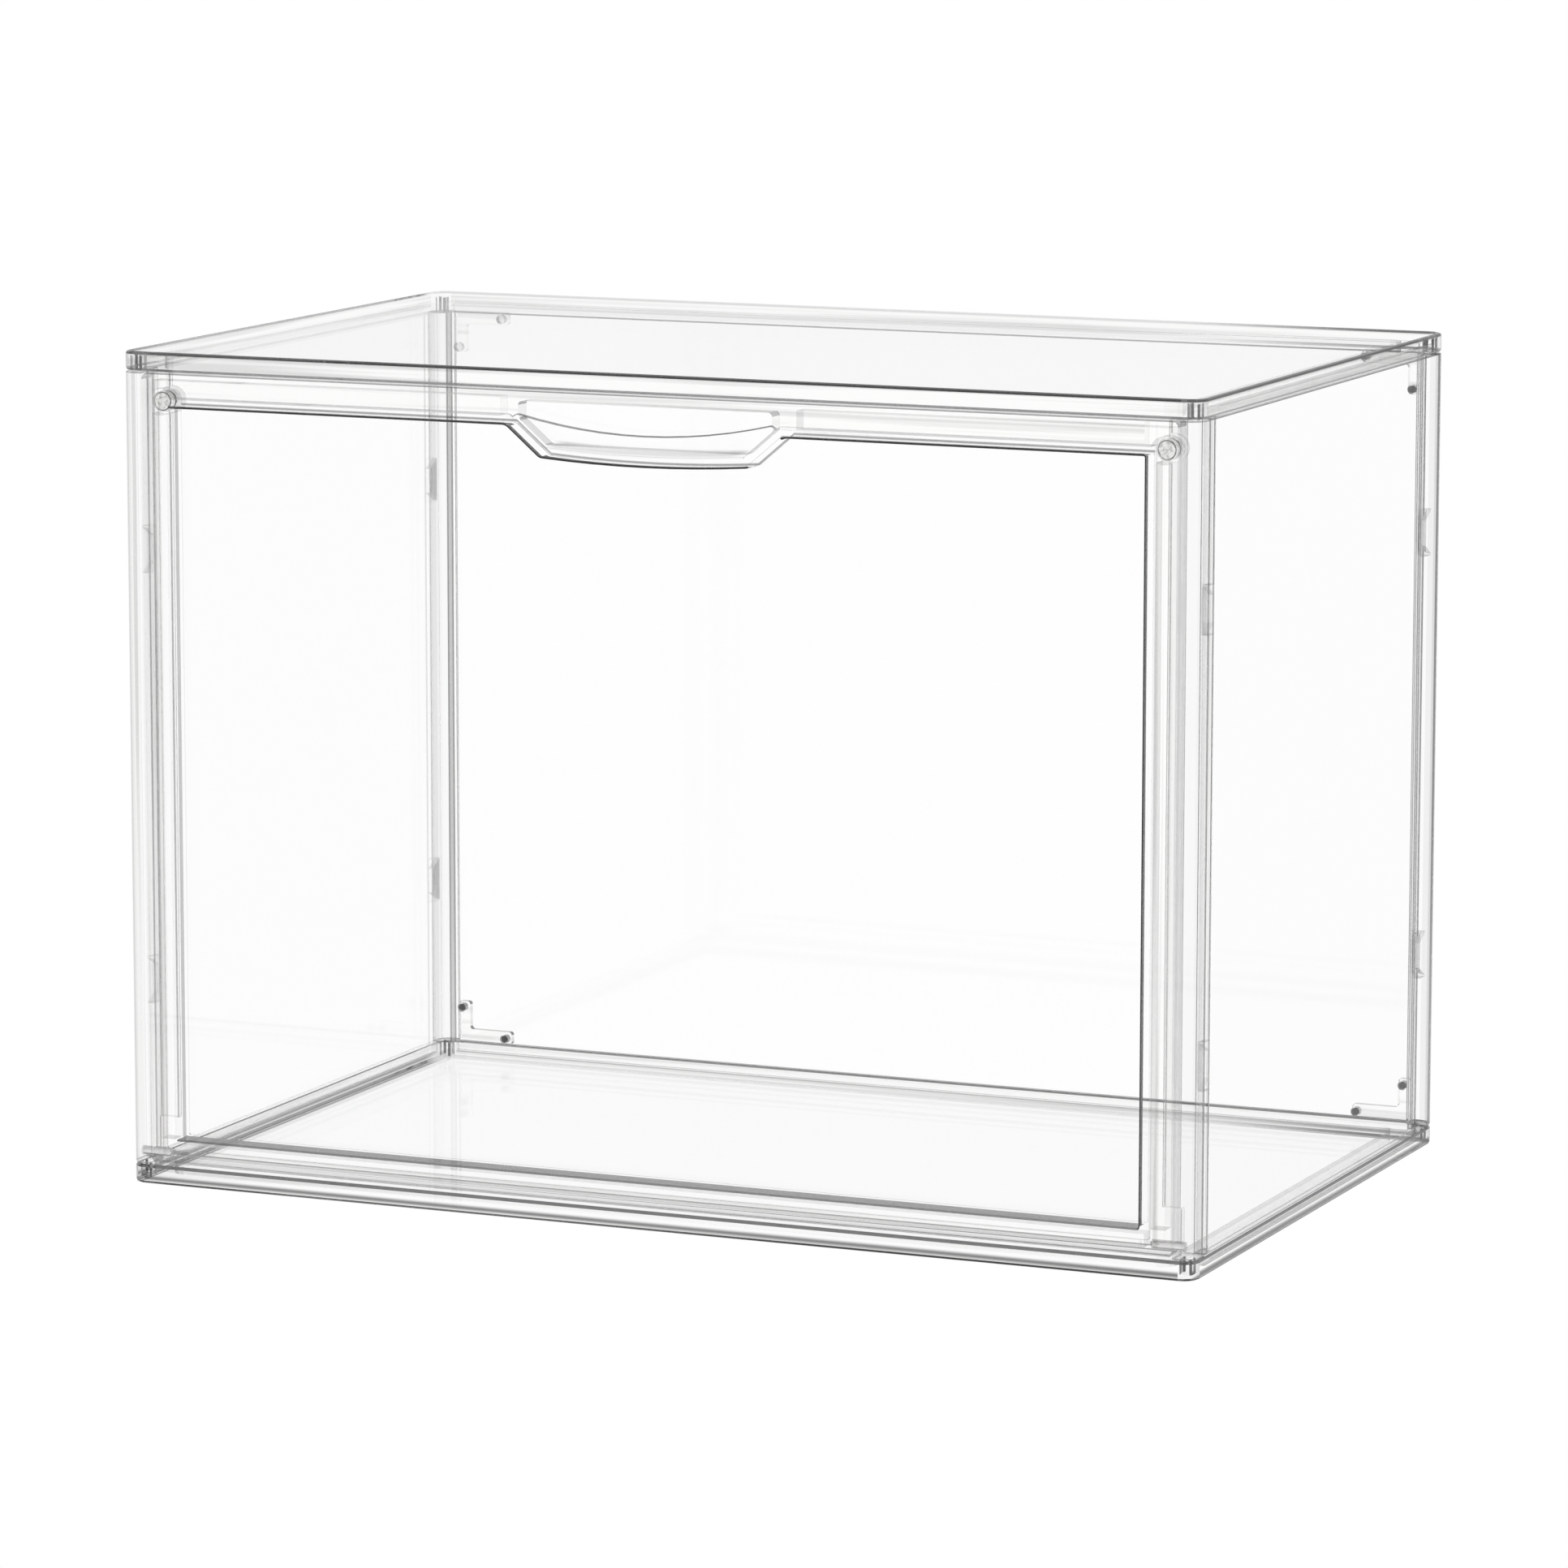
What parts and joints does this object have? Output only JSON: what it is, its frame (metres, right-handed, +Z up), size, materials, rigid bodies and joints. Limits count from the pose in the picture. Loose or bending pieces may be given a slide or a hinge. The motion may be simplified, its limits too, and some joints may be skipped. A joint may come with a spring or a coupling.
{
  "type": "display case",
  "caption": "Clear rectangular display case of clipped panels between a base and a top tray, with a drop-front door held shut by magnets.",
  "frame": {"origin": "middle of the underside of the base panel, halfway across the case and halfway from its front plane to its rear plane", "axes": "+X to the right seen from the front, +Y to the rear, +Z up"},
  "size_m": [0.35, 0.2214, 0.258],
  "materials": {
    "clear_plastic": "water-clear, polished",
    "magnet": "nickel plate",
    "hinge_pin": "bright turned steel"
  },
  "bodies": {
    "case": {"base_panel": "clear_plastic", "top_panel": "clear_plastic", "back_panel": "clear_plastic", "left_panel": "clear_plastic", "right_panel": "clear_plastic", "front_post_left": "clear_plastic", "front_post_right": "clear_plastic", "corner_key_lower_left": "clear_plastic", "corner_key_upper_left": "clear_plastic", "corner_key_lower_right": "clear_plastic", "corner_key_upper_right": "clear_plastic", "frame_magnet_left": "magnet", "frame_magnet_right": "magnet"},
    "door": {"door": "clear_plastic", "door_magnet_left": "magnet", "door_magnet_right": "magnet", "hinge_pin_left": "hinge_pin", "hinge_pin_right": "hinge_pin"}
  },
  "joints": [
    {"name": "door_hinge", "type": "hinge", "parent": "case", "child": "door", "pos_m": [0, -0.1077, 0.0101], "axis": [1, 0, 0], "range_deg": [0, 90]}
  ]
}
